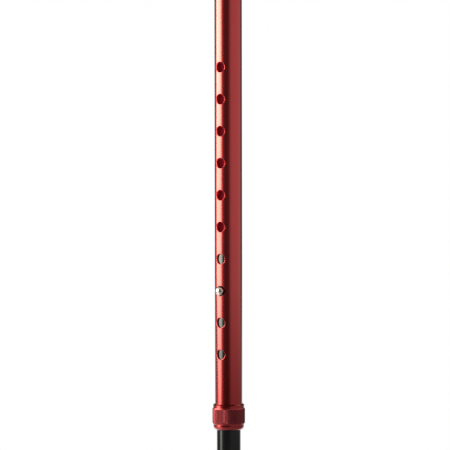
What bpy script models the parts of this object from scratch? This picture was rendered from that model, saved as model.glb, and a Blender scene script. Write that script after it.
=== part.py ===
"""Height-adjustable walking cane with an offset handle.

Metres, +Z up. The origin is on the shaft's axis where the rubber tip meets the ground. The row of
button holes faces -Y, and the handle runs along +X over the shaft.
"""

import math

import bmesh
import bpy
from mathutils import Matrix, Vector

# Fits between pieces
FIT_GAP = 0.0003
SLIDE_GAP = 0.0003

# Upper tube and its row of holes
TUBE_OD = 0.0218
TUBE_WALL = 0.0011
HOLE_COUNT = 10
HOLE_PITCH = 0.0254
HOLE_CHAMFER = 0.0003
SHAFT_OVER_HOLES = 0.237

# Offset handle, as bent from the upper tube
NECK_LEAN = math.radians(52)
NECK_RADIUS = 0.058
NECK_RUN = 0.038
HANDLE_RADIUS = 0.038
HANDLE_RUN = 0.112

# Grip and the plug in the handle's end
GRIP_LENGTH = 0.108
GRIP_WALL = 0.0044
GRIP_SWELL = 0.0012
GRIP_FLANGE = 0.0022
GRIP_FLANGE_LENGTH = 0.0075
GRIP_END_WALL = 0.005
GRIP_RIBS = 7
GRIP_RIB_DEPTH = 0.0009
PLUG_FLANGE = 0.002
PLUG_SPIGOT = 0.012
PLUG_BORE_WALL = 0.0025

# Locking collar, from its foot up
COLLAR_FOOT_ROUND = 0.0031
COLLAR_FOOT_BAND = 0.0017
COLLAR_FLUTE_BAND = 0.0107
COLLAR_RIM_BAND = 0.0021
COLLAR_RIM_ROUND = 0.0010
COLLAR_RIM_WALL = 0.0013
COLLAR_LIP = 0.0003
COLLAR_ROUND_BULGE = 0.0004
FLUTE_PROUD = 0.0005
FOOT_STEP = 0.0003
FLUTE_COUNT = 72
FLUTE_DEPTH = 0.00035
FLUTE_CHAMFER = 0.0011
COLLAR_TO_HOLE = 0.0397

# Clamp ring inside the collar
SEAT_FLOOR = 0.0016
SEAT_ANGLE = math.radians(30)
RING_LAND = 0.00025
RING_HEIGHT = 0.0055
RING_SLIT = 0.0012

# Lower tube
LOWER_WALL = 0.0012
TUBE_OVER_BUTTON = 0.038
TUBE_END_CHAMFER = 0.0003

# Snap button and its spring
BUTTON_HOLE = 3
BUTTON_DIA = 0.007
BUTTON_PLAY = 0.00065
BUTTON_PROUD = 0.0038
BUTTON_DOME = 0.0035
STEM_DIA = 0.0032
STEM_HEAD_DIA = 0.0052
STEM_HEAD = 0.0008
LEAF_THICKNESS = 0.0006
LEAF_EDGE_ANGLE = math.radians(34)
LEAF_PAD_OVER = 0.007
LEAF_PAD_UNDER = 0.007
LEAF_LEAN = math.radians(8)
LEAF_KINK_RADIUS = 0.003
LEAF_FOLD_RADIUS = 0.0022
LEAF_FOOT = 0.010

# Rubber tip and the washer in it
TIP_HEIGHT = 0.050
TIP_FLOOR = 0.014
TIP_WALL = 0.0031
TIP_BASE_DIA = 0.038
TIP_BASE_HEIGHT = 0.008
TIP_FLARE_HEIGHT = 0.012
TIP_BEAD = 0.0012
TIP_BEAD_HEIGHT = 0.004
TIP_EDGE = 0.001
TREAD_PAD_DIA = 0.011
TREAD_GROOVE = 0.0022
TREAD_LAND = 0.0032
TREAD_DEPTH = 0.0018
TREAD_GROOVES = 2
WASHER_THICKNESS = 0.0012
WASHER_BORE = 0.006
SHORTEST_GAP = 0.005

# Facets
TUBE_SIDES = 32
HOLE_SIDES = 20
COLLAR_SIDES = 72
TURNED_SIDES = 32
BEND_STEP = math.radians(11.5)
RIB_STEPS = 4
ROUND_STEPS = 3
CUT_OVER = 0.001

# Radii worked out from the sizes above
tube_r = TUBE_OD / 2
bore_r = tube_r - TUBE_WALL
lower_r = bore_r - SLIDE_GAP
lower_bore_r = lower_r - LOWER_WALL
button_r = BUTTON_DIA / 2
hole_r = button_r + BUTTON_PLAY
collar_bore_r = tube_r + FIT_GAP
collar_throat_r = lower_r + SLIDE_GAP
rim_r = collar_bore_r + COLLAR_RIM_WALL
flute_r = rim_r + FLUTE_PROUD
foot_r = rim_r - FOOT_STEP
socket_r = lower_r + FIT_GAP
tip_sleeve_r = socket_r + TIP_WALL
grip_bore_r = tube_r + FIT_GAP
grip_r = grip_bore_r + GRIP_WALL

# Heights up the shaft, at the setting where the button is in its hole
exposed_tube = (HOLE_COUNT - BUTTON_HOLE) * HOLE_PITCH + SHORTEST_GAP
collar_z = TIP_HEIGHT + exposed_tube
foot_top = COLLAR_FOOT_ROUND + COLLAR_FOOT_BAND
flute_bottom = foot_top + FLUTE_CHAMFER
flute_top = flute_bottom + COLLAR_FLUTE_BAND
rim_bottom = flute_top + FLUTE_CHAMFER
rim_top = rim_bottom + COLLAR_RIM_BAND
collar_height = rim_top + COLLAR_RIM_ROUND
lowest_hole_z = collar_z + collar_height + COLLAR_TO_HOLE
button_z = lowest_hole_z + (BUTTON_HOLE - 1) * HOLE_PITCH
top_hole_z = lowest_hole_z + (HOLE_COUNT - 1) * HOLE_PITCH
neck_z = top_hole_z + SHAFT_OVER_HOLES

# Clamp ring's place in the collar, measured from the collar's foot
ring_r = collar_bore_r - FIT_GAP
cone_gap = FIT_GAP / math.cos(SEAT_ANGLE)
seat_top = SEAT_FLOOR + (collar_bore_r - collar_throat_r) / math.tan(SEAT_ANGLE)
ring_bottom = SEAT_FLOOR + (RING_LAND + cone_gap) / math.tan(SEAT_ANGLE)
ring_cone_top = SEAT_FLOOR + (ring_r + cone_gap - collar_throat_r) / math.tan(SEAT_ANGLE)
ring_top = ring_bottom + RING_HEIGHT
tube_end_z = collar_z + ring_top + FIT_GAP

# Leaf spring's place in the lower tube, measured out from the shaft's axis
leaf_reach = lower_bore_r - FIT_GAP
leaf_face = leaf_reach * math.cos(LEAF_EDGE_ANGLE)
leaf_half_width = leaf_reach * math.sin(LEAF_EDGE_ANGLE)
leaf_mid = leaf_face - LEAF_THICKNESS / 2
leaf_back = leaf_face - LEAF_THICKNESS

# Tip's stack, from the ground up
washer_z = TIP_FLOOR + FIT_GAP
lower_end_z = washer_z + WASHER_THICKNESS + FIT_GAP


def clear_scene():
    for obj in list(bpy.data.objects):
        bpy.data.objects.remove(obj, do_unlink=True)


def new_collection(name):
    group = bpy.data.collections.new(name)
    bpy.context.scene.collection.children.link(group)
    return group


def new_material(name, color, roughness, metallic):
    material = bpy.data.materials.new(name)
    material.use_nodes = True
    shader = material.node_tree.nodes["Principled BSDF"]
    shader.inputs["Base Color"].default_value = (*color, 1.0)
    shader.inputs["Roughness"].default_value = roughness
    shader.inputs["Metallic"].default_value = metallic
    return material


def add_object(name, data, group, material=None, parent=None):
    obj = bpy.data.objects.new(name, data)
    group.objects.link(obj)
    obj.parent = parent
    if material:
        data.materials.append(material)
    return obj


def add_empty(name, group, height):
    empty = add_object(name, None, group)
    empty.location.z = height
    return empty


def arc(center, radius, start, end, steps):
    """Points of an arc from one angle to another, in radians, both ends included."""
    angles = [start + (end - start) * i / steps for i in range(steps + 1)]
    return [(center[0] + radius * math.cos(a), center[1] + radius * math.sin(a)) for a in angles]


def bulged(first, last, bulge, steps=ROUND_STEPS):
    """Points between two corners on a shallow curve that stands out to the left of the way along."""
    run = Vector(last) - Vector(first)
    side = Vector((-run.y, run.x)).normalized()
    points = []
    for i in range(steps + 1):
        share = i / steps
        point = Vector(first) + run * share + side * bulge * math.sin(math.pi * share)
        points.append(tuple(point))
    return points


def turned(name, profile, group, material=None, parent=None, closed=False, sides=TURNED_SIDES):
    """A solid of revolution about Z from (radius, height) points that run down the outer side."""
    mesh = bpy.data.meshes.new(name)
    count = len(profile)
    edges = [(i, i + 1) for i in range(count - 1)]
    if closed:
        edges.append((count - 1, 0))
    mesh.from_pydata([(r, 0.0, z) for r, z in profile], edges, [])
    obj = add_object(name, mesh, group, material, parent)
    screw = obj.modifiers.new("Turn", "SCREW")
    screw.axis = "Z"
    screw.steps = sides
    screw.render_steps = sides
    screw.use_merge_vertices = True
    screw.merge_threshold = 0.00001
    return obj


def bent_path(start, heading, moves):
    """Points of a flat path made of straight runs and bends, as a tube bender makes it.

    A move is (run, turn, radius): a straight run, then a bend that turns left by an angle.
    """
    place = Vector(start)
    points = [place.copy()]
    for run, turn, radius in moves:
        place = place + Vector((math.cos(heading), math.sin(heading))) * run
        if run:
            points.append(place.copy())
        if not turn:
            continue
        steps = max(2, round(abs(turn) / BEND_STEP))
        side = math.copysign(math.pi / 2, turn)
        center = place + Vector((math.cos(heading + side), math.sin(heading + side))) * radius
        first = heading - side
        points += [Vector(p) for p in arc(center, radius, first, first + turn, steps)[1:]]
        heading += turn
        place = points[-1].copy()
    return points


def poly_curve(name, points, group, dimensions="3D"):
    curve = bpy.data.curves.new(name, "CURVE")
    curve.dimensions = dimensions
    spline = curve.splines.new("POLY")
    spline.points.add(len(points) - 1)
    for knot, point in zip(spline.points, points):
        knot.co = (*point, 1.0)
    return add_object(name, curve, group)


def curve_to_mesh(curve_obj, name, group, material, parent=None):
    """The curve's evaluated surface as a mesh object in its place."""
    bpy.context.view_layer.update()
    evaluated = curve_obj.evaluated_get(bpy.context.evaluated_depsgraph_get())
    mesh = bpy.data.meshes.new_from_object(evaluated)
    mesh.materials.clear()
    bpy.data.objects.remove(curve_obj, do_unlink=True)
    return add_object(name, mesh, group, material, parent)


def solidify(obj, thickness, offset):
    shell = obj.modifiers.new("Wall", "SOLIDIFY")
    shell.thickness = thickness
    shell.offset = offset
    shell.use_even_offset = True


def cut(obj, cutter):
    boolean = obj.modifiers.new("Cut " + cutter.name, "BOOLEAN")
    boolean.operation = "DIFFERENCE"
    boolean.object = cutter


def cutter_object(name, bm, group):
    """A cutter made of the closed shells in a bmesh."""
    bmesh.ops.recalc_face_normals(bm, faces=bm.faces)
    mesh = bpy.data.meshes.new(name)
    bm.to_mesh(mesh)
    bm.free()
    obj = add_object(name, mesh, group)
    obj.display_type = "WIRE"
    obj.hide_render = True
    return obj


def shade(obj, angle=math.radians(35)):
    obj.data.shade_smooth()
    if obj.data.polygons:
        obj.data.set_sharp_from_angle(angle=angle)
    for modifier in obj.modifiers:
        if modifier.type == "SCREW":
            modifier.use_smooth_shade = True


def handle_path():
    """The upper tube's middle line in the XZ plane, from its lower end to the handle's end."""
    bends = [
        (neck_z - tube_end_z, NECK_LEAN, NECK_RADIUS),
        (NECK_RUN, -NECK_LEAN - math.pi / 2, HANDLE_RADIUS),
        (HANDLE_RUN, 0, 0),
    ]
    return bent_path((0, tube_end_z), math.pi / 2, bends)


def bored_hole(bm, radius, chamfer, surface_r, height):
    """One radial hole facing -Y, with its chamfer bent round the tube's outside."""
    rings = [(radius, -radius), (radius, -chamfer), (radius + chamfer + CUT_OVER, CUT_OVER)]
    loops = []
    for ring_r, depth in rings:
        ring = []
        for i in range(HOLE_SIDES):
            angle = 2 * math.pi * i / HOLE_SIDES
            across = ring_r * math.cos(angle)
            out = math.sqrt(surface_r**2 - across**2) + depth
            ring.append(bm.verts.new((across, -out, height + ring_r * math.sin(angle))))
        loops.append(ring)
    for inner, outer in zip(loops, loops[1:]):
        for i in range(HOLE_SIDES):
            j = (i + 1) % HOLE_SIDES
            bm.faces.new((inner[i], inner[j], outer[j], outer[i]))
    bm.faces.new(loops[0])
    bm.faces.new(loops[-1])


def make_upper_tube(parts, cutters, material):
    points = [(p.x, 0.0, p.y) for p in handle_path()]
    curve = poly_curve("handle_line", points, parts)
    curve.data.bevel_depth = tube_r
    curve.data.bevel_resolution = TUBE_SIDES // 2 - 2
    tube = curve_to_mesh(curve, "upper_tube", parts, material)
    solidify(tube, TUBE_WALL, -1)
    bm = bmesh.new()
    for i in range(HOLE_COUNT):
        bored_hole(bm, hole_r, HOLE_CHAMFER, tube_r, lowest_hole_z + i * HOLE_PITCH)
    cut(tube, cutter_object("button_holes", bm, cutters))
    shade(tube)


def grip_profile(depth):
    """The grip's outside, from its open end at the top to its closed end."""
    ribbed = GRIP_LENGTH - 2 * GRIP_FLANGE_LENGTH
    flange_r = grip_r + GRIP_FLANGE
    edge = GRIP_FLANGE
    end = -depth - GRIP_END_WALL
    points = [(grip_bore_r, -depth), (grip_bore_r, 0), (flange_r - edge, 0)]
    points += arc((flange_r - edge, -edge), edge, math.pi / 2, 0, ROUND_STEPS)[1:]
    samples = GRIP_RIBS * RIB_STEPS
    for i in range(samples + 1):
        share = i / samples
        dip = GRIP_RIB_DEPTH * (1 - math.cos(2 * math.pi * GRIP_RIBS * share)) / 2
        swell = GRIP_SWELL * math.sin(math.pi * share)
        points.append((grip_r + swell - dip, -GRIP_FLANGE_LENGTH - ribbed * share))
    round_r = grip_r - grip_bore_r + GRIP_FLANGE
    points.append((flange_r, -GRIP_LENGTH + GRIP_FLANGE_LENGTH - edge))
    points += arc((flange_r - round_r, end + round_r), round_r, 0, -math.pi / 2, 2 * ROUND_STEPS)
    return [(0, -depth)] + points + [(0, end)]


def make_grip(parts, material, handle_end, height):
    depth = GRIP_LENGTH + FIT_GAP + PLUG_FLANGE + FIT_GAP
    grip = turned("hand_grip", grip_profile(depth), parts, material)
    grip.location = (handle_end - GRIP_LENGTH, 0, height)
    grip.rotation_euler.y = -math.pi / 2
    shade(grip)


def make_end_plug(parts, material, handle_end, height):
    spigot_r = bore_r - FIT_GAP
    hollow_r = spigot_r - PLUG_BORE_WALL
    profile = [
        (0, PLUG_FLANGE + FIT_GAP),
        (tube_r, PLUG_FLANGE + FIT_GAP),
        (tube_r, FIT_GAP),
        (spigot_r, FIT_GAP),
        (spigot_r, TUBE_END_CHAMFER - PLUG_SPIGOT),
        (spigot_r - TUBE_END_CHAMFER, -PLUG_SPIGOT),
        (hollow_r, -PLUG_SPIGOT),
        (hollow_r, FIT_GAP),
        (0, FIT_GAP),
    ]
    plug = turned("handle_end_plug", profile, parts, material)
    plug.location = (handle_end, 0, height)
    plug.rotation_euler.y = math.pi / 2
    shade(plug)


def collar_profile():
    """The collar's section as a closed loop, down its outside and up its bore."""
    lip_r = collar_bore_r + COLLAR_LIP
    foot_lip_r = collar_throat_r + COLLAR_LIP
    rim_round = bulged((lip_r, collar_height), (rim_r, rim_top), COLLAR_ROUND_BULGE)
    foot_round = bulged((foot_r, COLLAR_FOOT_ROUND), (foot_lip_r, 0), COLLAR_ROUND_BULGE)
    return (
        [(collar_bore_r, collar_height)]
        + rim_round
        + [(rim_r, rim_bottom), (flute_r, flute_top), (flute_r, flute_bottom), (foot_r, foot_top)]
        + foot_round
        + [(collar_throat_r, 0), (collar_throat_r, SEAT_FLOOR), (collar_bore_r, seat_top)]
    )


def make_collar(parts, cutters, material, axis):
    collar = turned(
        "locking_collar", collar_profile(), parts, material, axis, closed=True, sides=COLLAR_SIDES
    )
    bm = bmesh.new()
    groove_r = FLUTE_DEPTH + CUT_OVER
    length = rim_bottom - foot_top + 2 * FLUTE_CHAMFER
    for i in range(FLUTE_COUNT):
        turn = Matrix.Rotation(2 * math.pi * (i + 0.5) / FLUTE_COUNT, 4, "Z")
        out = flute_r - FLUTE_DEPTH + groove_r
        place = Matrix.Translation((out, 0, (flute_bottom + flute_top) / 2))
        bmesh.ops.create_cone(
            bm,
            cap_ends=True,
            segments=4,
            radius1=groove_r,
            radius2=groove_r,
            depth=length,
            matrix=turn @ place,
        )
    grooves = cutter_object("collar_flutes", bm, cutters)
    grooves.parent = axis
    cut(collar, grooves)
    shade(collar)


def make_clamp_ring(parts, cutters, material, axis):
    profile = [
        (collar_throat_r, ring_top),
        (ring_r, ring_top),
        (ring_r, ring_cone_top),
        (collar_throat_r + RING_LAND, ring_bottom),
        (collar_throat_r, ring_bottom),
    ]
    ring = turned("clamp_ring", profile, parts, material, axis, closed=True)
    bm = bmesh.new()
    size = (2 * ring_r, RING_SLIT, 2 * RING_HEIGHT)
    place = Matrix.Translation((ring_r, 0, (ring_bottom + ring_top) / 2))
    bmesh.ops.create_cube(bm, size=1.0, matrix=place @ Matrix.Diagonal((*size, 1.0)))
    slit = cutter_object("ring_slit", bm, cutters)
    slit.parent = axis
    cut(ring, slit)
    shade(ring)


def make_lower_tube(parts, cutters, material, section):
    top = button_z + TUBE_OVER_BUTTON
    profile = [
        (lower_bore_r, top),
        (lower_r - TUBE_END_CHAMFER, top),
        (lower_r, top - TUBE_END_CHAMFER),
        (lower_r, lower_end_z),
        (lower_bore_r, lower_end_z),
    ]
    tube = turned("lower_tube", profile, parts, material, section, closed=True)
    bm = bmesh.new()
    bored_hole(bm, button_r + FIT_GAP, 0, lower_r, button_z)
    hole = cutter_object("lower_button_hole", bm, cutters)
    hole.parent = section
    cut(tube, hole)
    shade(tube)


def make_button(parts, material, section):
    """The dome, the stem through the leaf and the stem's riveted head, out along -Y."""
    stem_r = STEM_DIA / 2
    head_r = STEM_HEAD_DIA / 2
    base = leaf_face + FIT_GAP
    back = leaf_back - FIT_GAP
    top = tube_r + BUTTON_PROUD
    dome_r = (button_r**2 + BUTTON_DOME**2) / (2 * BUTTON_DOME)
    spread = math.asin(button_r / dome_r)
    dome = arc((0, top - dome_r), dome_r, math.pi / 2, math.pi / 2 - spread, 2 * ROUND_STEPS)
    profile = dome + [
        (button_r, base),
        (stem_r, base),
        (stem_r, back),
        (head_r, back),
        (head_r, back - STEM_HEAD),
        (0, back - STEM_HEAD),
    ]
    button = turned("snap_button", profile, parts, material, section)
    button.location.z = button_z
    button.rotation_euler.x = math.pi / 2
    shade(button)


def make_spring(parts, cutters, material, section):
    """A leaf folded like a hairpin, its fold down, one leg behind the button and one on the far wall."""
    drop = LEAF_KINK_RADIUS * (1 - math.cos(LEAF_LEAN))
    leg = (leaf_mid - drop - LEAF_FOLD_RADIUS * math.cos(LEAF_LEAN)) / math.sin(LEAF_LEAN)
    pad = LEAF_PAD_OVER + LEAF_PAD_UNDER
    moves = [
        (pad, -LEAF_LEAN, LEAF_KINK_RADIUS),
        (leg, 2 * LEAF_LEAN - math.pi, LEAF_FOLD_RADIUS),
        (leg, -LEAF_LEAN, LEAF_KINK_RADIUS),
        (LEAF_FOOT, 0, 0),
    ]
    line = bent_path((leaf_mid, button_z + LEAF_PAD_OVER), -math.pi / 2, moves)
    curve = poly_curve("leaf_line", [(p.x, p.y, 0.0) for p in line], parts, "2D")
    curve.data.extrude = leaf_half_width
    spring = curve_to_mesh(curve, "button_spring", parts, material, section)
    out_and_up = Matrix(((0, 0, -1, 0), (-1, 0, 0, 0), (0, 1, 0, 0), (0, 0, 0, 1)))
    spring.data.transform(out_and_up)
    solidify(spring, LEAF_THICKNESS, 0)
    bm = bmesh.new()
    stem_hole_r = STEM_DIA / 2 + FIT_GAP
    place = Matrix.Translation((0, -leaf_mid, button_z)) @ Matrix.Rotation(math.pi / 2, 4, "X")
    bmesh.ops.create_cone(
        bm,
        cap_ends=True,
        segments=HOLE_SIDES,
        radius1=stem_hole_r,
        radius2=stem_hole_r,
        depth=LEAF_THICKNESS + 2 * CUT_OVER,
        matrix=place,
    )
    stem_hole = cutter_object("leaf_hole", bm, cutters)
    stem_hole.parent = section
    cut(spring, stem_hole)
    shade(spring)


def tread_profile():
    """The ringed underside of the tip, from its outer edge in to the axis."""
    points = []
    radius = TREAD_PAD_DIA / 2
    for _ in range(TREAD_GROOVES):
        points += [(radius, 0), (radius, TREAD_DEPTH)]
        radius += TREAD_GROOVE
        points += [(radius, TREAD_DEPTH), (radius, 0)]
        radius += TREAD_LAND
    return points[::-1] + [(0, 0)]


def make_tip(parts, material, section):
    base_r = TIP_BASE_DIA / 2
    bead_z = TIP_BASE_HEIGHT + TIP_FLARE_HEIGHT
    flare = bulged((tip_sleeve_r, bead_z), (base_r, TIP_BASE_HEIGHT), -TIP_WALL / 2, 2 * ROUND_STEPS)
    bead = arc(
        (tip_sleeve_r, bead_z + TIP_BEAD_HEIGHT / 2),
        TIP_BEAD_HEIGHT / 2,
        math.pi / 2,
        -math.pi / 2,
        2 * ROUND_STEPS,
    )
    bead = [(tip_sleeve_r + (r - tip_sleeve_r) * 2 * TIP_BEAD / TIP_BEAD_HEIGHT, z) for r, z in bead]
    lip = TIP_WALL / 2
    top = arc((tip_sleeve_r - lip, TIP_HEIGHT - lip), lip, math.pi / 2, 0, ROUND_STEPS)
    profile = (
        [(0, TIP_FLOOR), (socket_r, TIP_FLOOR), (socket_r, TIP_HEIGHT)]
        + top
        + bead
        + flare[1:]
        + [(base_r, TIP_EDGE), (base_r - TIP_EDGE, 0)]
        + tread_profile()
    )
    shade(turned("rubber_tip", profile, parts, material, section))


def make_washer(parts, material, section):
    top = washer_z + WASHER_THICKNESS
    profile = [(WASHER_BORE / 2, top), (lower_r, top), (lower_r, washer_z), (WASHER_BORE / 2, washer_z)]
    shade(turned("tip_washer", profile, parts, material, section, closed=True))


def main():
    clear_scene()
    parts = new_collection("walking_cane")
    cutters = new_collection("cutters")

    red = new_material("red_anodised", (0.50, 0.035, 0.035), 0.22, 1.0)
    black = new_material("black_anodised", (0.012, 0.012, 0.012), 0.18, 0.0)
    steel = new_material("bright_steel", (0.72, 0.70, 0.66), 0.18, 1.0)
    spring_steel = new_material("spring_steel", (0.30, 0.30, 0.31), 0.35, 1.0)
    zinc = new_material("zinc_steel", (0.55, 0.56, 0.58), 0.40, 1.0)
    rubber = new_material("black_rubber", (0.018, 0.018, 0.019), 0.75, 0.0)
    nylon = new_material("white_nylon", (0.70, 0.69, 0.65), 0.50, 0.0)

    lower_section = add_empty("lower_section", parts, 0)
    collar_axis = add_empty("collar_axis", parts, collar_z)
    end = handle_path()[-1]

    make_upper_tube(parts, cutters, red)
    make_grip(parts, rubber, end.x, end.y)
    make_end_plug(parts, nylon, end.x, end.y)
    make_collar(parts, cutters, red, collar_axis)
    make_clamp_ring(parts, cutters, nylon, collar_axis)
    make_lower_tube(parts, cutters, black, lower_section)
    make_button(parts, steel, lower_section)
    make_spring(parts, cutters, spring_steel, lower_section)
    make_tip(parts, rubber, lower_section)
    make_washer(parts, zinc, lower_section)


main()
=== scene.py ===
import math

import bmesh
import bpy
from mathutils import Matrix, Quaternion, Vector


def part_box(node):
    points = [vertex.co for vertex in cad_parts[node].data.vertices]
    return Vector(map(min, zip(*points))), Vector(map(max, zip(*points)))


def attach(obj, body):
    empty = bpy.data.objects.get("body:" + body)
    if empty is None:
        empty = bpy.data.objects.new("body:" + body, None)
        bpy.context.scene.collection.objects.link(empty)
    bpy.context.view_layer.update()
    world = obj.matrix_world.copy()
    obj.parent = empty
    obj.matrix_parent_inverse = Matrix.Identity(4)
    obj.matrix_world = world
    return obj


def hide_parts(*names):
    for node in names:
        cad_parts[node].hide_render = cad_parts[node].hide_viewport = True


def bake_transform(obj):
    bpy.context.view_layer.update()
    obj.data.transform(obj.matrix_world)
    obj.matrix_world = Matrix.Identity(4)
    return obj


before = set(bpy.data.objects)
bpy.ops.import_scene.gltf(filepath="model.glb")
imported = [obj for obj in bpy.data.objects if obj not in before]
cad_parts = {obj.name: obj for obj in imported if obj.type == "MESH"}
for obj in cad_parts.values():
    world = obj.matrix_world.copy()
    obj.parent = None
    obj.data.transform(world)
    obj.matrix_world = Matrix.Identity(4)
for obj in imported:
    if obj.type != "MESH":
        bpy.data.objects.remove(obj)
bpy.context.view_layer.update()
mm = 0.001
weld = 0.001 * mm  # points closer than this become one
slack = 0.01 * mm  # heights and radii closer than this are the same
bpy.context.scene.view_settings.view_transform = "Standard"
print("frame loaded with", len(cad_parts), "CAD nodes")


# Modelling helpers

def dropSelection():
    if bpy.context.object and bpy.context.object.mode != "OBJECT":
        bpy.ops.object.mode_set(mode="OBJECT")
    bpy.ops.object.select_all(action="DESELECT")


def workOn(piece):
    dropSelection()
    piece.select_set(True)
    bpy.context.view_layer.objects.active = piece


def named(name):
    piece = bpy.context.object
    piece.name = name
    piece.data.name = name
    return piece


def pick(piece, kind, wanted):  # in edit mode, selects what passes the test
    bpy.ops.mesh.select_mode(type=kind)
    bpy.ops.mesh.select_all(action="DESELECT")
    mesh = bmesh.from_edit_mesh(piece.data)
    for item in {"VERT": mesh.verts, "EDGE": mesh.edges, "FACE": mesh.faces}[kind]:
        item.select_set(wanted(item))
    mesh.select_flush_mode()
    bmesh.update_edit_mesh(piece.data)


def applyModifier(piece, name, kind, **settings):
    workOn(piece)
    modifier = piece.modifiers.new(name, kind)
    for setting, value in settings.items():
        setattr(modifier, setting, value)
    bpy.ops.object.modifier_apply(modifier=name)


def smooth(piece, degrees=32):
    workOn(piece)
    bpy.ops.object.shade_smooth_by_angle(angle=math.radians(degrees))


def settle(piece):  # the place goes into the mesh, and the object back to the origin
    workOn(piece)
    bpy.ops.object.transform_apply(location=True, rotation=True, scale=True)


def arc(center, radius, start, end, steps):  # degrees, as (across, up) pairs
    turns = [math.radians(start + (end - start) * i / steps) for i in range(steps + 1)]
    return [(center[0] + radius * math.cos(t), center[1] + radius * math.sin(t)) for t in turns]


def crowned(first, last, bulge, steps):  # a shallow curve between two points of a section
    side = Vector((last[1] - first[1], first[0] - last[0])).normalized()
    points = []
    for i in range(steps + 1):
        share = i / steps
        point = Vector(first).lerp(Vector(last), share) - side * bulge * math.sin(math.pi * share)
        points.append(tuple(point))
    return points


def turnPiece(name, section, sides, closed=False):
    # the section is drawn by pulling one vertex from point to point, then spun about Z
    dropSelection()
    bpy.ops.mesh.primitive_plane_add(size=mm)
    piece = named(name)
    bpy.ops.object.mode_set(mode="EDIT")
    bpy.ops.mesh.select_mode(type="VERT")
    bpy.ops.mesh.merge(type="CENTER")
    bpy.ops.transform.translate(value=(section[0][0], 0, section[0][1]))
    for (r, z), (nextR, nextZ) in zip(section, section[1:]):
        bpy.ops.mesh.extrude_region_move(
            TRANSFORM_OT_translate={"value": (nextR - r, 0, nextZ - z)})
    if closed:
        pick(piece, "VERT", lambda v: len(v.link_edges) == 1)
        bpy.ops.mesh.edge_face_add()
    bpy.ops.mesh.select_all(action="SELECT")
    bpy.ops.mesh.spin(steps=sides, angle=2 * math.pi, center=(0, 0, 0), axis=(0, 0, 1))
    bpy.ops.mesh.select_all(action="SELECT")
    bpy.ops.mesh.remove_doubles(threshold=weld)
    bpy.ops.mesh.normals_make_consistent(inside=False)
    bpy.ops.object.mode_set(mode="OBJECT")
    return piece


def pullAlong(place, heading, runs, bendSteps):
    # in edit mode, draws the selected edges along straight runs and bends in the XZ plane
    place = Vector(place)
    for run, turn, bend in runs:
        ahead = Vector((math.cos(math.radians(heading)), 0, math.sin(math.radians(heading))))
        bpy.ops.mesh.extrude_region_move(TRANSFORM_OT_translate={"value": ahead * run})
        place = place + ahead * run
        if turn:
            side = math.radians(heading + math.copysign(90, turn))
            center = place + Vector((math.cos(side), 0, math.sin(side))) * bend
            bpy.ops.mesh.spin(
                steps=round(abs(turn) / bendSteps), angle=math.radians(turn),
                center=center, axis=(0, 1, 0))
            heading += turn
            off = math.radians(heading + math.copysign(90, turn))
            place = center - Vector((math.cos(off), 0, math.sin(off))) * bend
    bpy.ops.mesh.select_all(action="SELECT")
    bpy.ops.mesh.remove_doubles(threshold=weld)
    bpy.ops.mesh.normals_make_consistent(inside=False)
    bpy.ops.object.mode_set(mode="OBJECT")


# Heights that the pieces share, from the CAD frame
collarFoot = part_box("locking_collar")[0].z
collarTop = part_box("locking_collar")[1].z
holeRow = {
    "count": 10,
    "pitch": 25.4 * mm,
    "lowest": collarTop + 39.7 * mm,
    "buttonIn": 2,  # third from the bottom
    "radius": 4.15 * mm,
    "chamfer": 0.22 * mm,
    "sides": 48,
}
buttonHeight = holeRow["lowest"] + holeRow["buttonIn"] * holeRow["pitch"]
topHole = holeRow["lowest"] + (holeRow["count"] - 1) * holeRow["pitch"]

# Upper tube, bent into the handle
tube = {
    "radius": 10.9 * mm,
    "wall": 1.1 * mm,
    "sides": 192,
    "end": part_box("upper_tube")[0].z,
    "shaft": 237 * mm,  # from the top hole to the neck
    "neckLean": 52,
    "neckRadius": 58 * mm,
    "neckRun": 38 * mm,
    "handleRadius": 38 * mm,
    "handleRun": 112 * mm,
    "bendSteps": 3,  # degrees a step
}
neckStart = topHole + tube["shaft"]


def drill(name, radius, chamfer, surface, height):
    # a radial cutter facing -Y, its chamfer bent round the tube
    reach = mm
    dropSelection()
    bpy.ops.mesh.primitive_circle_add(
        vertices=holeRow["sides"], radius=radius, fill_type="NGON",
        location=(0, radius - surface, height), rotation=(math.pi / 2, 0, 0))
    cutter = named(name)
    settle(cutter)
    bpy.ops.object.mode_set(mode="EDIT")
    rings = [
        (radius, -chamfer),
        (radius + 0.3 * chamfer, -0.25 * chamfer),  # rounds the chamfer
        (radius + chamfer, 0),
        (radius + chamfer + reach, reach),
    ]
    last, depth = radius, -radius
    for ring, out in rings:
        bpy.ops.mesh.extrude_region_move(TRANSFORM_OT_translate={"value": (0, depth - out, 0)})
        grow = ring / last
        bpy.ops.transform.resize(
            value=(grow, 1, grow), center_override=(0, -surface - out, height))
        last, depth = ring, out
    mesh = bmesh.from_edit_mesh(cutter.data)
    for v in mesh.verts:
        if v.co.y > -surface - reach / 2:  # the end outside stays flat
            v.co.y += surface - math.sqrt(surface ** 2 - v.co.x ** 2)
    bmesh.update_edit_mesh(cutter.data)
    bpy.ops.mesh.select_all(action="SELECT")
    bpy.ops.mesh.normals_make_consistent(inside=False)
    bpy.ops.object.mode_set(mode="OBJECT")
    return cutter


def cutAway(piece, cutter):
    applyModifier(piece, "cut", "BOOLEAN", operation="DIFFERENCE", solver="EXACT", object=cutter)
    bpy.data.objects.remove(cutter, do_unlink=True)


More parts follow.
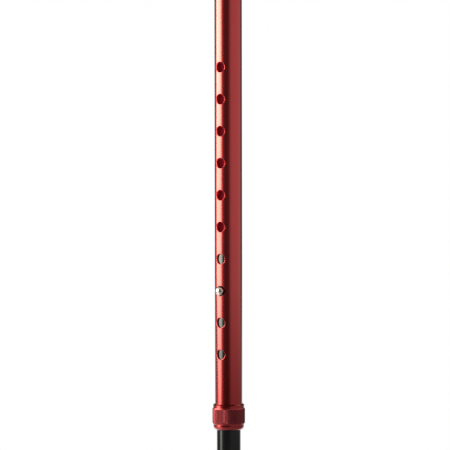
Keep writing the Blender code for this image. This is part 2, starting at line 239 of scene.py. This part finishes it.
def makeUpperTube():
    dropSelection()
    bpy.ops.mesh.primitive_circle_add(
        vertices=tube["sides"], radius=tube["radius"], location=(0, 0, tube["end"]))
    piece = named("upperTube")
    settle(piece)
    bpy.ops.object.mode_set(mode="EDIT")
    pullAlong((0, 0, tube["end"]), 90, [
        (neckStart - tube["end"], tube["neckLean"], tube["neckRadius"]),
        (tube["neckRun"], -tube["neckLean"] - 90, tube["handleRadius"]),
        (tube["handleRun"], 0, 0),
    ], tube["bendSteps"])
    applyModifier(piece, "wall", "SOLIDIFY", thickness=tube["wall"], offset=-1, use_even_offset=True)
    first = drill("drill", holeRow["radius"], holeRow["chamfer"], tube["radius"], holeRow["lowest"])
    cutters = [first]
    for i in range(1, holeRow["count"]):
        workOn(first)
        bpy.ops.object.duplicate()
        copy = bpy.context.object
        copy.location.z = i * holeRow["pitch"]
        settle(copy)
        cutters.append(copy)
    workOn(first)
    for cutter in cutters[1:]:
        cutter.select_set(True)
    bpy.ops.object.join()
    cutAway(piece, first)
    smooth(piece, 15)
    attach(piece, "upper_section")
    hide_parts("upper_tube")
    print("upper tube modelled:", len(piece.data.polygons), "faces")
    return piece


upperTube = makeUpperTube()

# Locking collar, from its foot up
collar = {
    "throat": 9.8 * mm,
    "bore": 11.2 * mm,
    "seatFloor": 1.6 * mm,
    "seatTop": 4.025 * mm,
    "footRadius": 12.3 * mm,
    "footRound": 2.6 * mm,
    "footBead": 3.5 * mm,
    "footTop": 4.2 * mm,
    "crease": 12.29 * mm,
    "fluteRadius": 13.0 * mm,
    "fluteBottom": 5.9 * mm,
    "fluteTop": 16.6 * mm,
    "rimRadius": 12.5 * mm,
    "rimBottom": 17.7 * mm,
    "rimTop": 19.8 * mm,
    "lip": 0.3 * mm,
    "bulge": 0.5 * mm,
    "flutes": 72,
    "grooveDepth": 0.25 * mm,
    "grooveRound": 0.25,  # share of the groove's side that is round
    "columns": 12,  # columns of faces to a flute
}


def makeCollar():
    c = collar
    height = collarTop - collarFoot
    grooveRadius = c["fluteRadius"] - c["grooveDepth"]
    upperFade = c["grooveDepth"] / (c["fluteRadius"] - c["rimRadius"])
    lowerFade = c["grooveDepth"] / (c["fluteRadius"] - c["crease"])
    footRound = crowned(
        (c["footRadius"], c["footRound"]), (c["throat"] + c["lip"], 0), c["bulge"], steps=8)
    section = [
        (c["bore"], height),
        (c["bore"] + c["lip"], height),
        (c["rimRadius"], c["rimTop"]),
        (c["rimRadius"], c["rimBottom"]),
        (grooveRadius, c["fluteTop"] + (c["rimBottom"] - c["fluteTop"]) * upperFade),
        (c["fluteRadius"], c["fluteTop"]),
        (c["fluteRadius"], c["fluteBottom"]),
        (grooveRadius, c["fluteBottom"] - (c["fluteBottom"] - c["footTop"]) * lowerFade),
        (c["crease"], c["footTop"]),
        (c["footRadius"], c["footBead"]),
    ] + footRound + [(c["throat"], 0), (c["throat"], c["seatFloor"]), (c["bore"], c["seatTop"])]
    columns = c["flutes"] * c["columns"]
    piece = turnPiece("lockingCollar", section, columns, closed=True)
    bpy.ops.object.mode_set(mode="EDIT")

    def columnOf(v):
        return round(math.atan2(v.co.y, v.co.x) / (2 * math.pi) * columns) % c["columns"]

    middle = c["columns"] // 2
    for step in range(middle):  # from each groove's floor out to the crest
        share = step / middle
        roundShare = (1 - math.cos(math.pi * share)) / 2
        rise = (1 - c["grooveRound"]) * share + c["grooveRound"] * roundShare
        depth = c["grooveDepth"] * (1 - rise)
        shrink = 1 - depth / c["fluteRadius"]
        pick(piece, "VERT", lambda v: abs(columnOf(v) - middle) == step
             and abs(v.co.xy.length - c["fluteRadius"]) < slack)
        bpy.ops.transform.resize(value=(shrink, shrink, 1), center_override=(0, 0, 0))
    smooth(piece, 50)
    corners = [c[z] for z in ("footTop", "fluteBottom", "fluteTop", "rimBottom", "rimTop")]
    corners.append(height)
    bpy.ops.object.mode_set(mode="EDIT")
    pick(piece, "EDGE", lambda e: any(
        all(abs(v.co.z - z) < slack for v in e.verts) for z in corners))
    bpy.ops.mesh.mark_sharp()
    bpy.ops.object.mode_set(mode="OBJECT")
    piece.location.z = collarFoot
    settle(piece)
    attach(piece, "collar")
    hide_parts("locking_collar")
    print("locking collar modelled:", len(piece.data.polygons), "faces")
    return piece


lockingCollar = makeCollar()

# Lower tube
lower = {
    "radius": 9.5 * mm,
    "bore": 8.3 * mm,
    "endChamfer": 0.3 * mm,
    "sides": 144,
    "buttonHole": 3.8 * mm,
    "holeEdge": 0.12 * mm,
}


def makeLowerTube():
    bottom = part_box("lower_tube")[0].z
    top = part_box("lower_tube")[1].z
    edge = lower["endChamfer"]
    section = [
        (lower["bore"], top),
        (lower["radius"] - edge, top),
        (lower["radius"] - 0.3 * edge, top - 0.3 * edge),
        (lower["radius"], top - edge),
        (lower["radius"], bottom),
        (lower["bore"], bottom),
    ]
    piece = turnPiece("lowerTube", section, lower["sides"], closed=True)
    cutAway(piece, drill("drill", lower["buttonHole"], lower["holeEdge"], lower["radius"], buttonHeight))
    smooth(piece, 15)
    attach(piece, "lower_section")
    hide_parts("lower_tube")
    print("lower tube modelled:", len(piece.data.polygons), "faces")
    return piece


lowerTube = makeLowerTube()

# Snap button, out along -Y
button = {
    "radius": 3.5 * mm,
    "top": 14.2 * mm,  # out from the shaft's axis
    "domeRadius": 4.5 * mm,
    "domeEdge": 0.6 * mm,
    "base": 6.932 * mm,
    "stemRadius": 1.6 * mm,
    "stemEnd": 5.732 * mm,
    "headRadius": 2.6 * mm,
    "headEnd": 4.932 * mm,
    "headEdge": 0.2 * mm,
    "sides": 64,
}


def makeButton():
    b = button
    domeCenter = b["top"] - b["domeRadius"]
    across = b["radius"] - b["domeEdge"]
    rise = math.sqrt((b["domeRadius"] - b["domeEdge"]) ** 2 - across ** 2)
    turn = math.degrees(math.atan2(rise, across))
    section = arc((0, domeCenter), b["domeRadius"], 90, turn, steps=16)
    section += arc((across, domeCenter + rise), b["domeEdge"], turn, 0, steps=8)[1:]
    section += [
        (b["radius"], b["base"] + b["headEdge"]),
        (b["radius"] - b["headEdge"], b["base"]),
        (b["stemRadius"], b["base"]),
        (b["stemRadius"], b["stemEnd"]),
        (b["headRadius"], b["stemEnd"]),
        (b["headRadius"], b["headEnd"] + b["headEdge"]),
        (b["headRadius"] - b["headEdge"], b["headEnd"]),
        (0, b["headEnd"]),
    ]
    section[0] = (0, b["top"])
    piece = turnPiece("snapButton", section, b["sides"])
    piece.rotation_euler.x = math.pi / 2
    piece.location.z = buttonHeight
    settle(piece)
    smooth(piece, 50)
    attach(piece, "button")
    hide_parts("snap_button")
    print("snap button modelled:", len(piece.data.polygons), "faces")
    return piece


snapButton = makeButton()

# Leaf spring behind the button, folded like a hairpin with its fold down
spring = {
    "thickness": 0.6 * mm,
    "padOver": 7 * mm,  # up from the button's middle, and down from it
    "padUnder": 7 * mm,
    "lean": 8,
    "kinkRadius": 3 * mm,
    "foldRadius": 2.2 * mm,
    "foot": 10 * mm,
    "stemHole": 1.9 * mm,
    "bendSteps": 4,
}


def makeSpring():
    p = spring
    low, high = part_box("button_spring")
    face = -low.y
    middle = face - p["thickness"] / 2
    lean = math.radians(p["lean"])
    kinkStep = p["kinkRadius"] * (1 - math.cos(lean))
    leg = (middle - kinkStep - p["foldRadius"] * math.cos(lean)) / math.sin(lean)
    start = (middle, 0, buttonHeight + p["padOver"])
    dropSelection()
    width = high.x - low.x
    bpy.ops.mesh.primitive_plane_add(size=width, location=start)
    piece = named("buttonSpring")
    settle(piece)
    bpy.ops.object.mode_set(mode="EDIT")
    pick(piece, "VERT", lambda v: v.co.x > middle)
    bpy.ops.mesh.delete(type="VERT")
    pick(piece, "VERT", lambda v: True)
    bpy.ops.transform.translate(value=(width / 2, 0, 0))
    pullAlong(start, -90, [
        (p["padOver"] + p["padUnder"], -p["lean"], p["kinkRadius"]),
        (leg, 2 * p["lean"] - 180, p["foldRadius"]),
        (leg, -p["lean"], p["kinkRadius"]),
        (p["foot"], 0, 0),
    ], p["bendSteps"])
    piece.rotation_euler.z = -math.pi / 2
    settle(piece)
    applyModifier(piece, "leaf", "SOLIDIFY", thickness=p["thickness"], offset=0, use_even_offset=True)
    dropSelection()
    bpy.ops.mesh.primitive_cylinder_add(
        vertices=button["sides"], radius=p["stemHole"], depth=4 * p["thickness"],
        location=(0, -middle, buttonHeight), rotation=(math.pi / 2, 0, 0))
    cutAway(piece, named("stemDrill"))
    smooth(piece, 30)
    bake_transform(piece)
    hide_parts("button_spring")
    print("leaf spring modelled:", len(piece.data.polygons), "faces")
    return piece


buttonSpring = makeSpring()

# Hand grip, along the handle from its open end
grip = {
    "length": 108 * mm,
    "bore": 11.2 * mm,
    "mouth": 0.4 * mm,
    "radius": 15.6 * mm,
    "swell": 1.2 * mm,
    "flange": 2.2 * mm,
    "flangeLength": 7.5 * mm,
    "depth": 110.6 * mm,
    "endWall": 5 * mm,
    "ribs": 7,
    "ribDepth": 0.9 * mm,
    "samples": 14,  # rings to a rib
    "sides": 128,
}


def makeGrip():
    g = grip
    ribbed = g["length"] - 2 * g["flangeLength"]
    flangeRadius = g["radius"] + g["flange"]
    edge = g["flange"]
    endZ = -g["depth"] - g["endWall"]
    endRound = flangeRadius - g["bore"]
    section = [
        (0, -g["depth"]),
        (g["bore"], -g["depth"]),
        (g["bore"], -g["mouth"]),
        (g["bore"] + g["mouth"], 0),
    ]
    section += arc((flangeRadius - edge, -edge), edge, 90, 0, steps=8)
    rings = g["ribs"] * g["samples"]
    for i in range(rings + 1):
        share = i / rings
        dip = g["ribDepth"] * (1 - math.cos(2 * math.pi * g["ribs"] * share)) / 2
        swell = g["swell"] * math.sin(math.pi * share)
        section.append((g["radius"] + swell - dip, -g["flangeLength"] - ribbed * share))
    section.append((flangeRadius, -g["length"] + g["flangeLength"] - edge))
    section += arc((flangeRadius - endRound, endZ + endRound), endRound, 0, -90, steps=14)
    section.append((0, endZ))
    piece = turnPiece("handGrip", section, g["sides"])
    low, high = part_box("hand_grip")
    piece.rotation_euler.y = -math.pi / 2
    piece.location = (low.x, 0, (low.z + high.z) / 2)
    settle(piece)
    smooth(piece, 40)
    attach(piece, "upper_section")
    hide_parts("hand_grip")
    print("hand grip modelled:", len(piece.data.polygons), "faces")
    return piece


handGrip = makeGrip()

# Rubber tip, from the ground up
tip = {
    "socket": 9.8 * mm,
    "sleeve": 12.9 * mm,
    "wall": 3.1 * mm,
    "floor": 14 * mm,
    "height": 50 * mm,
    "base": 19 * mm,
    "baseHeight": 8 * mm,
    "flareTop": 20 * mm,
    "bead": 1.2 * mm,
    "beadHeight": 4 * mm,
    "edge": 1 * mm,
    "treadPad": 5.5 * mm,
    "treadGroove": 2.2 * mm,
    "treadLand": 3.2 * mm,
    "treadDepth": 1.8 * mm,
    "sides": 128,
}


def makeTip():
    t = tip
    lip = t["wall"] / 2
    section = [(0, t["floor"]), (t["socket"], t["floor"]), (t["socket"], t["height"])]
    section += arc((t["sleeve"] - lip, t["height"] - lip), lip, 90, 0, steps=8)
    half = t["beadHeight"] / 2
    for across, up in arc((0, t["flareTop"] + half), half, 90, -90, steps=14):
        section.append((t["sleeve"] + across * t["bead"] / half, up))
    section += crowned(
        (t["sleeve"], t["flareTop"]), (t["base"], t["baseHeight"]), -lip, steps=16)[1:]
    section += arc((t["base"] - t["edge"], t["edge"]), t["edge"], 0, -90, steps=6)
    innerGroove = t["treadPad"] + t["treadGroove"]  # each groove by its outer edge
    outerGroove = innerGroove + t["treadLand"] + t["treadGroove"]
    for r in (outerGroove, innerGroove):
        section += [(r, 0), (r, t["treadDepth"])]
        section += [(r - t["treadGroove"], t["treadDepth"]), (r - t["treadGroove"], 0)]
    section.append((0, 0))
    piece = turnPiece("rubberTip", section, t["sides"])
    smooth(piece, 40)
    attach(piece, "lower_section")
    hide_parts("rubber_tip")
    print("rubber tip modelled:", len(piece.data.polygons), "faces")
    return piece


rubberTip = makeTip()


# Finishes

class Wire:  # a socket that does sums: each one adds a Math node
    def __init__(self, finish, socket):
        self.finish = finish
        self.socket = socket

    def sum(self, operation, first, second):
        return self.finish.node("ShaderNodeMath", {"operation": operation}, {0: first, 1: second})

    def __add__(self, other):
        return self.sum("ADD", self, other)

    def __radd__(self, other):
        return self.sum("ADD", other, self)

    def __sub__(self, other):
        return self.sum("SUBTRACT", self, other)

    def __rsub__(self, other):
        return self.sum("SUBTRACT", other, self)

    def __mul__(self, other):
        return self.sum("MULTIPLY", self, other)

    def __rmul__(self, other):
        return self.sum("MULTIPLY", other, self)

    def __truediv__(self, other):
        return self.sum("DIVIDE", self, other)


class Finish:
    def __init__(self, owner):  # a material or the world
        owner.use_nodes = True
        self.owner = owner
        self.tree = owner.node_tree
        self.shader = self.tree.nodes.get("Principled BSDF")

    def node(self, kind, settings=None, sockets=None, output=0):
        made = self.tree.nodes.new(kind)
        for setting, value in (settings or {}).items():
            if setting == "stops":
                ramp = made.color_ramp.elements
                while len(ramp) < len(value):
                    ramp.new(1.0)
                for element, (position, level) in zip(ramp, value):
                    element.position = position
                    element.color = (level, level, level, 1)
            else:
                setattr(made, setting, value)
        for socket, value in (sockets or {}).items():
            self.feed(made.inputs[socket], value)
        return Wire(self, made.outputs[output])

    def feed(self, socket, value):
        if isinstance(value, Wire):
            self.tree.links.new(value.socket, socket)
        else:
            socket.default_value = value

    def set(self, sockets):  # on the main shader
        for socket, value in sockets.items():
            self.feed(self.shader.inputs[socket], value)

    def place(self, stretch=(1, 1, 1)):
        coords = self.node("ShaderNodeTexCoord", output="Object")
        return self.node("ShaderNodeMapping", {}, {"Vector": coords, "Scale": stretch})

    def noise(self, place, scale, detail):
        return self.node("ShaderNodeTexNoise", {}, {"Vector": place, "Scale": scale, "Detail": detail})

    def span(self, value, first, last, low=0.0, high=1.0, shape="LINEAR"):
        return self.node("ShaderNodeMapRange", {"clamp": True, "interpolation_type": shape}, {
            "Value": value, "From Min": first, "From Max": last, "To Min": low, "To Max": high})

    def blend(self, share, first, second):
        return self.node("ShaderNodeMix", {"data_type": "RGBA"}, {0: share, 6: first, 7: second}, 2)

    def bump(self, height, strength, depth):
        return self.node("ShaderNodeBump", {}, {"Height": height, "Strength": strength, "Distance": depth})


redCoat = {
    "red": (0.41, 0.014, 0.012, 1),
    "deepRed": (0.38, 0.012, 0.011, 1),
    "rough": 0.21,
    "roughSpread": 0.04,
    "coatRough": 0.07,
    "cloudScale": 35,
}
tubeBore = {
    "red": (0.75, 0.05, 0.09, 1),
    "rough": 0.6,
    "metal": 0.0,
    "coat": 0.0,
    "depth": 0.24 * mm,  # in from the tube's outside
    "neckGap": 2 * mm,  # it stops this far below the bend, which leaves the shaft's axis
}
# painted shade: the flutes' darker red stands in for the shade between the knurl's grooves, while their
# higher roughness is the real dull finish
collarFlutesDullAndPaintedShade = {"red": (0.215, 0.033, 0.039, 1), "rough": 0.35, "metal": 1.0, "coat": 0.0}


def makeRedFinish(name, dullFinishAndPaintedShade, dullFinishAndPaintedShadeShare):  # the dull part is given as a function of radius and height; on the collar's flutes its darker red is painted shade
    f = Finish(bpy.data.materials.new(name))
    cloud = f.noise(f.place(), redCoat["cloudScale"], 3)
    out = f.node("ShaderNodeVectorMath", {"operation": "LENGTH"}, {0: f.place((1, 1, 0))}, "Value")
    up = f.node("ShaderNodeSeparateXYZ", {}, {"Vector": f.place()}, "Z")
    share = dullFinishAndPaintedShadeShare(f, out, up)
    rough = redCoat["rough"] + redCoat["roughSpread"] * cloud
    # where the share is one, the base colour is the dull part's red, which on the collar's flutes is painted
    # shade
    f.set({
        "Base Color": f.blend(share, f.blend(cloud, redCoat["deepRed"], redCoat["red"]), dullFinishAndPaintedShade["red"]),
        "Metallic": 1 - share * (1 - dullFinishAndPaintedShade["metal"]) if dullFinishAndPaintedShade["metal"] < 1 else 1.0,
        "Roughness": rough + share * (dullFinishAndPaintedShade["rough"] - rough),
        "Coat Weight": 1 - share * (1 - dullFinishAndPaintedShade["coat"]),
        "Coat Roughness": redCoat["coatRough"],
    })
    return f.owner


def boreShare(f, out, up):
    depth, gap = tubeBore["depth"], tubeBore["neckGap"]
    inside = f.span(out, tube["radius"] - depth, tube["radius"] - 0.9 * depth, 1.0, 0.0)
    return inside * f.span(up, neckStart - gap, neckStart - gap / 2, 1.0, 0.0)


# the fluted band, where the darker red is painted shade and the roughness is raised
def fluteBandDullAndShadeShare(f, out, up):
    above = f.span(up, collarFoot + collar["footTop"], collarFoot + collar["fluteBottom"])
    below = f.span(up, collarFoot + collar["fluteTop"], collarFoot + collar["rimBottom"], 1.0, 0.0)
    return above * below


blackCoat = {
    "black": (0.0045, 0.0042, 0.0042, 1),
    "worn": (0.0060, 0.0056, 0.0055, 1),
    "rough": 0.10,
    "roughSpread": 0.04,
    "cloudScale": 40,
}


def makeBlackFinish():
    f = Finish(bpy.data.materials.new("blackAnodised"))
    cloud = f.noise(f.place(), blackCoat["cloudScale"], 3)
    f.set({
        "Base Color": f.blend(cloud, blackCoat["black"], blackCoat["worn"]),
        "Roughness": blackCoat["rough"] + blackCoat["roughSpread"] * cloud,
    })
    return f.owner


metalSkin = {"bump": 0.05, "depth": 0.02 * mm}


def makeMetalFinish(name, pale, dark, rough, spread, scale):
    f = Finish(bpy.data.materials.new(name))
    cloud = f.noise(f.place(), scale, 3)
    f.set({
        "Base Color": f.blend(cloud, dark, pale),
        "Metallic": 1.0,
        "Roughness": rough + spread * cloud,
        "Normal": f.bump(cloud, metalSkin["bump"], metalSkin["depth"]),
    })
    return f.owner


rubberSkin = {"roughSpread": 0.2, "shine": 0.2, "bump": 0.15, "depth": 0.1 * mm, "cloudScale": 60}


def makeRubberFinish(name, black, dusty, grain, rough):
    f = Finish(bpy.data.materials.new(name))
    place = f.place()
    fine = f.noise(place, grain, 2)
    cloud = f.noise(place, rubberSkin["cloudScale"], 4)
    f.set({
        "Base Color": f.blend(cloud, black, dusty),
        "Roughness": rough + rubberSkin["roughSpread"] * fine,
        "Specular IOR Level": rubberSkin["shine"],
        "Normal": f.bump(fine, rubberSkin["bump"], rubberSkin["depth"]),
    })
    return f.owner


nylonSkin = {
    "dark": (0.62, 0.60, 0.55, 1),
    "pale": (0.72, 0.71, 0.67, 1),
    "rough": 0.42,
    "roughSpread": 0.12,
    "cloudScale": 90,
}


def makeNylonFinish():
    f = Finish(bpy.data.materials.new("nylon"))
    cloud = f.noise(f.place(), nylonSkin["cloudScale"], 3)
    f.set({
        "Base Color": f.blend(cloud, nylonSkin["dark"], nylonSkin["pale"]),
        "Roughness": nylonSkin["rough"] + nylonSkin["roughSpread"] * cloud,
    })
    return f.owner


redFinish = makeRedFinish("redAnodised", tubeBore, boreShare)
redCollarWithPaintedFluteShade = makeRedFinish("redCollarWithPaintedFluteShade", collarFlutesDullAndPaintedShade, fluteBandDullAndShadeShare)
blackFinish = makeBlackFinish()
brightSteel = makeMetalFinish(
    "brightSteel", pale=(0.84, 0.73, 0.63, 1), dark=(0.77, 0.67, 0.58, 1), rough=0.10, spread=0.06, scale=300)
springSteel = makeMetalFinish(
    "springSteel", pale=(0.36, 0.36, 0.37, 1), dark=(0.25, 0.25, 0.26, 1), rough=0.28, spread=0.12, scale=250)
zincSteel = makeMetalFinish(
    "zincSteel", pale=(0.60, 0.61, 0.63, 1), dark=(0.48, 0.49, 0.51, 1), rough=0.35, spread=0.15, scale=180)
gripRubber = makeRubberFinish(
    "gripRubber", black=(0.014, 0.014, 0.015, 1), dusty=(0.024, 0.024, 0.025, 1), grain=1600, rough=0.6)
tipRubber = makeRubberFinish(
    "tipRubber", black=(0.018, 0.018, 0.018, 1), dusty=(0.034, 0.033, 0.032, 1), grain=1100, rough=0.55)
nylon = makeNylonFinish()

wear = {
    redFinish: [upperTube],
    redCollarWithPaintedFluteShade: [lockingCollar],
    blackFinish: [lowerTube],
    brightSteel: [snapButton],
    gripRubber: [handGrip],
    tipRubber: [rubberTip],
    springSteel: [buttonSpring],
    zincSteel: [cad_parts["tip_washer"]],
    nylon: [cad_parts["clamp_ring"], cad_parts["handle_end_plug"]],
}
for material, dressed in wear.items():
    for piece in dressed:
        piece.data.materials.clear()
        piece.data.materials.append(material)
print("finishes made:", len(wear))

# Camera, at the photograph's viewing angle
view = {
    "azimuth": 38.3,
    "elevation": 2.6,
    "distance": 3.0,
    "aimHeight": 396.2 * mm,
    "aimLeft": 2.75 * mm,
    "sensor": 36,
    "field": 6.8356,
    "roll": -0.085,
}


def towards(left, up=0.0):  # out from the shaft, by degrees left of the camera and degrees up
    turn = math.radians(view["azimuth"] - left)
    lift = math.radians(up)
    flat = math.cos(lift)
    return Vector((math.sin(turn) * flat, -math.cos(turn) * flat, math.sin(lift)))


def makeCamera():
    dropSelection()
    back = towards(0, view["elevation"])
    aim = Vector((0, 0, view["aimHeight"])) + towards(90) * view["aimLeft"]
    bpy.ops.object.camera_add(location=aim + back * view["distance"])
    camera = bpy.context.object
    camera.name = "photoCamera"
    camera.data.sensor_width = view["sensor"]
    camera.data.lens = view["sensor"] / 2 / math.tan(math.radians(view["field"] / 2))
    camera.rotation_mode = "QUATERNION"
    roll = Quaternion((0, 0, 1), math.radians(view["roll"]))
    camera.rotation_quaternion = (-back).to_track_quat("-Z", "Y") @ roll
    bpy.context.scene.camera = camera
    print("camera placed")


makeCamera()

# Studio: what the metal reflects stands round the cane, by degrees left of the camera
studio = {
    "sides": 96,
    "radius": 1.0,
    "top": 1.7,
    "walls": [
        (-180, 0.12), (-140, 0.10), (-124, 0.26), (-112, 0.68), (-100, 0.78), (-50, 0.79), (-33, 0.77),
        (-24, 0.73), (-16, 0.59), (-8, 0.29), (0, 0.15), (9, 0.12), (30, 0.115), (38, 0.16), (46, 0.30),
        (54, 0.70), (60, 1.0), (112, 0.45), (125, 0.30), (146, 0.14), (180, 0.12),
    ],
    "rise": [
        (0.0, 0.10), (0.125, 0.25), (0.173, 0.43), (0.23, 0.74), (0.297, 1.03), (0.366, 1.06), (0.55, 1.02),
        (0.75, 0.95), (1.0, 0.4), (1.2, 0.0),
    ],
    "ground": [
        (-180, 1.1), (-150, 0.9), (-120, 0.3), (-20, 0.35), (5, 0.4), (40, 0.4), (58, 0.7), (68, 1.6),
        (85, 1.6), (102, 1.0), (150, 1.1), (180, 1.1),
    ],
    "groundNear": [
        (-180, 0.4), (-20, 0.35), (5, 0.35), (35, 0.4), (60, 0.55), (100, 0.6), (140, 0.5), (180, 0.4),
    ],
    "behind": [
        (-180, 0.9), (-150, 0.8), (-132, 0.3), (-120, 0.0), (120, 0.0), (135, 0.3), (150, 0.8), (180, 0.9),
    ],
    "behindLow": 0.12,  # heights between which the white behind is lost
    "behindHigh": 0.30,
    "over": [
        (-180, 1.2), (-145, 1.0), (-125, 0.45), (-100, 0.4), (-60, 0.6), (0, 0.8), (60, 0.6), (105, 0.35),
        (125, 0.4), (145, 1.1), (180, 1.2),
    ],
    "overLow": 0.95,  # and those between which the light overhead begins
    "overHigh": 1.25,
    "near": 0.15,  # out from the cane's tip, changing to the outer ground
    "far": 0.30,
    "zenith": 0.06,
    "zenithRadius": 0.5,
    "sky": 0.75,
    "floorRadius": 0.95,
    "floorFade": 0.25,  # where the floor begins to fade out
    "floorWhite": 0.86,
    "floorRough": 0.9,
    "sink": 0.01,  # the walls' foot, below the floor
    "lamps": [  # power, size, degrees left of the camera, lift
        (9, 1.0, 85, 6),
        (7, 0.5, 22, 4),
    ],
    "lampHeight": 0.45,
    "lampReach": 1.3,
}

softBox = {
    "radius": 0.97,
    "top": 1.5,
    "middle": 88,
    "halfWidth": 42,
    "frontLow": 70,
    "frontHigh": 64,
    "backLow": 89,
    "backHigh": 114,
    "low": 0.13,  # heights between which it widens
    "high": 0.30,
    "edge": 9,
    "glow": 13.4,
    "rise": [
        (0.0, 0.10), (0.125, 0.27), (0.173, 0.35), (0.23, 0.49), (0.297, 0.67), (0.366, 0.71), (0.55, 1.0),
        (0.70, 0.7), (0.85, 0.06), (1.5, 0.0),
    ],
    "tintLow": (1, 1, 0.93, 1),
    "tintHigh": (1, 0.92, 0.72, 1),
}


class Glow(Finish):  # a lit screen's finish, set out by degrees left of the camera and height
    def __init__(self, name, top):
        super().__init__(bpy.data.materials.new(name))
        self.tree.nodes.remove(self.shader)
        spot = self.node("ShaderNodeTexCoord", output="Object")
        x, y, self.up = (self.node("ShaderNodeSeparateXYZ", {}, {"Vector": spot}, axis) for axis in "XYZ")
        azimuth = self.node("ShaderNodeMath", {"operation": "ARCTAN2"}, {0: x, 1: 0 - y})
        self.left = self.node("ShaderNodeMath", {"operation": "WRAP"}, {
            0: view["azimuth"] - azimuth * math.degrees(1), 1: 180.0, 2: -180.0})
        self.top = top

    def graded(self, value, stops):
        return self.node("ShaderNodeValToRGB", {"stops": stops}, {"Fac": value})

    def round(self, stops):
        return self.graded(self.left / 360 + 0.5, [((angle + 180) / 360, level) for angle, level in stops])

    def rising(self, stops):
        return self.graded(self.up / self.top, [(height / self.top, level) for height, level in stops])

    def dress(self, screen, surface):
        self.feed(self.tree.nodes["Material Output"].inputs["Surface"], surface)
        screen.data.materials.append(self.owner)
        for sight in ("camera", "diffuse", "transmission", "volume_scatter", "shadow"):
            setattr(screen, "visible_" + sight, False)


def makeWalls():
    dropSelection()
    bpy.ops.mesh.primitive_cylinder_add(
        vertices=studio["sides"], radius=studio["radius"], depth=studio["top"],
        location=(0, 0, studio["top"] / 2 - studio["sink"]))
    walls = named("studioWalls")
    settle(walls)
    smooth(walls)
    f = Glow("studioGlow", studio["top"])
    out = f.node("ShaderNodeVectorMath", {"operation": "LENGTH"}, {0: f.place((1, 1, 0))}, "Value")
    below = f.span(f.up, -0.9 * studio["sink"], -0.1 * studio["sink"], 1.0, 0.0)
    ceiling = f.span(out, studio["zenithRadius"], studio["radius"], studio["zenith"], 1.0)
    low = f.span(f.up, studio["behindLow"], studio["behindHigh"], 1.0, 0.0)
    over = f.span(f.up, studio["overLow"], studio["overHigh"])
    side = f.round(studio["walls"]) * f.rising(studio["rise"]) + f.round(studio["behind"]) * low
    side = (side + f.round(studio["over"]) * over) * ceiling
    far = f.span(out, studio["near"], studio["far"])
    ground = f.round(studio["groundNear"]) * (1 - far) + f.round(studio["ground"]) * far
    f.dress(walls, f.node("ShaderNodeEmission", {}, {"Strength": side * (1 - below) + ground * below}))


def makeSoftBox():
    dropSelection()
    bpy.ops.mesh.primitive_cylinder_add(
        vertices=studio["sides"], radius=softBox["radius"], depth=softBox["top"], end_fill_type="NOTHING",
        location=(0, 0, softBox["top"] / 2))
    panel = named("softBox")
    settle(panel)
    middle = towards(softBox["middle"])
    bpy.ops.object.mode_set(mode="EDIT")
    pick(panel, "FACE", lambda face: face.normal.angle(middle) > math.radians(softBox["halfWidth"]))
    bpy.ops.mesh.delete(type="FACE")
    smooth(panel)
    f = Glow("softBoxGlow", softBox["top"])

    def widening(low, high):
        return f.span(f.up, softBox["low"], softBox["high"], low, high)

    edge = softBox["edge"]
    front = f.left - widening(softBox["frontLow"], softBox["frontHigh"])
    back = f.left - widening(softBox["backLow"], softBox["backHigh"])
    lit = f.span(front, -edge, edge, 0.0, 1.0, "SMOOTHSTEP")
    lit = lit * f.span(back, -edge, edge, 1.0, 0.0, "SMOOTHSTEP")
    glow = f.node("ShaderNodeEmission", {}, {
        "Color": f.blend(widening(0.0, 1.0), softBox["tintLow"], softBox["tintHigh"]),
        "Strength": lit * softBox["glow"] * f.rising(softBox["rise"])})
    clear = f.node("ShaderNodeBsdfTransparent")
    f.dress(panel, f.node("ShaderNodeAddShader", {}, {0: glow, 1: clear}))


def makeFloor():
    dropSelection()
    bpy.ops.mesh.primitive_circle_add(
        vertices=studio["sides"], radius=studio["floorRadius"], fill_type="NGON")
    floor = named("studioFloor")
    f = Finish(bpy.data.materials.new("floorWhite"))
    f.set({"Base Color": (studio["floorWhite"],) * 3 + (1,), "Roughness": studio["floorRough"]})
    spot = f.node("ShaderNodeTexCoord", output="Object")
    out = f.node("ShaderNodeVectorMath", {"operation": "LENGTH"}, {0: spot}, "Value")
    fade = f.span(out, studio["floorFade"], studio["floorRadius"], shape="SMOOTHSTEP")
    clear = f.node("ShaderNodeBsdfTransparent")
    surface = f.node("ShaderNodeMixShader", {}, {
        0: fade, 1: Wire(f, f.shader.outputs[0]), 2: clear})
    f.feed(f.tree.nodes["Material Output"].inputs["Surface"], surface)
    floor.data.materials.append(f.owner)
    floor.visible_glossy = False
    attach(floor, "lower_section")  # the ground stays under the tip as the tube slides


def makeLight():
    world = bpy.data.worlds.new("studioSky")
    bpy.context.scene.world = world
    f = Finish(world)
    path = f.tree.nodes.new("ShaderNodeLightPath")
    seen = f.node("ShaderNodeMath", {"operation": "MAXIMUM"}, {
        0: Wire(f, path.outputs["Is Camera Ray"]), 1: Wire(f, path.outputs["Is Glossy Ray"])})
    seen = f.node("ShaderNodeMath", {"operation": "MAXIMUM"}, {
        0: seen, 1: Wire(f, path.outputs["Is Transmission Ray"])})
    sky = f.tree.nodes["Background"]
    sky.inputs["Color"].default_value = (1, 1, 1, 1)
    f.feed(sky.inputs["Strength"], studio["sky"] + (1 - studio["sky"]) * seen)
    aim = Vector((0, 0, studio["lampHeight"]))
    for power, size, left, lift in studio["lamps"]:
        dropSelection()
        back = towards(left, lift)
        bpy.ops.object.light_add(type="AREA", location=aim + back * studio["lampReach"])
        lamp = bpy.context.object
        lamp.name = "softLamp"
        lamp.data.energy = power
        lamp.data.size = size
        lamp.rotation_mode = "QUATERNION"
        lamp.rotation_quaternion = (-back).to_track_quat("-Z", "Y")
        lamp.visible_glossy = False


makeWalls()
makeSoftBox()
makeFloor()
makeLight()
print("studio lit")
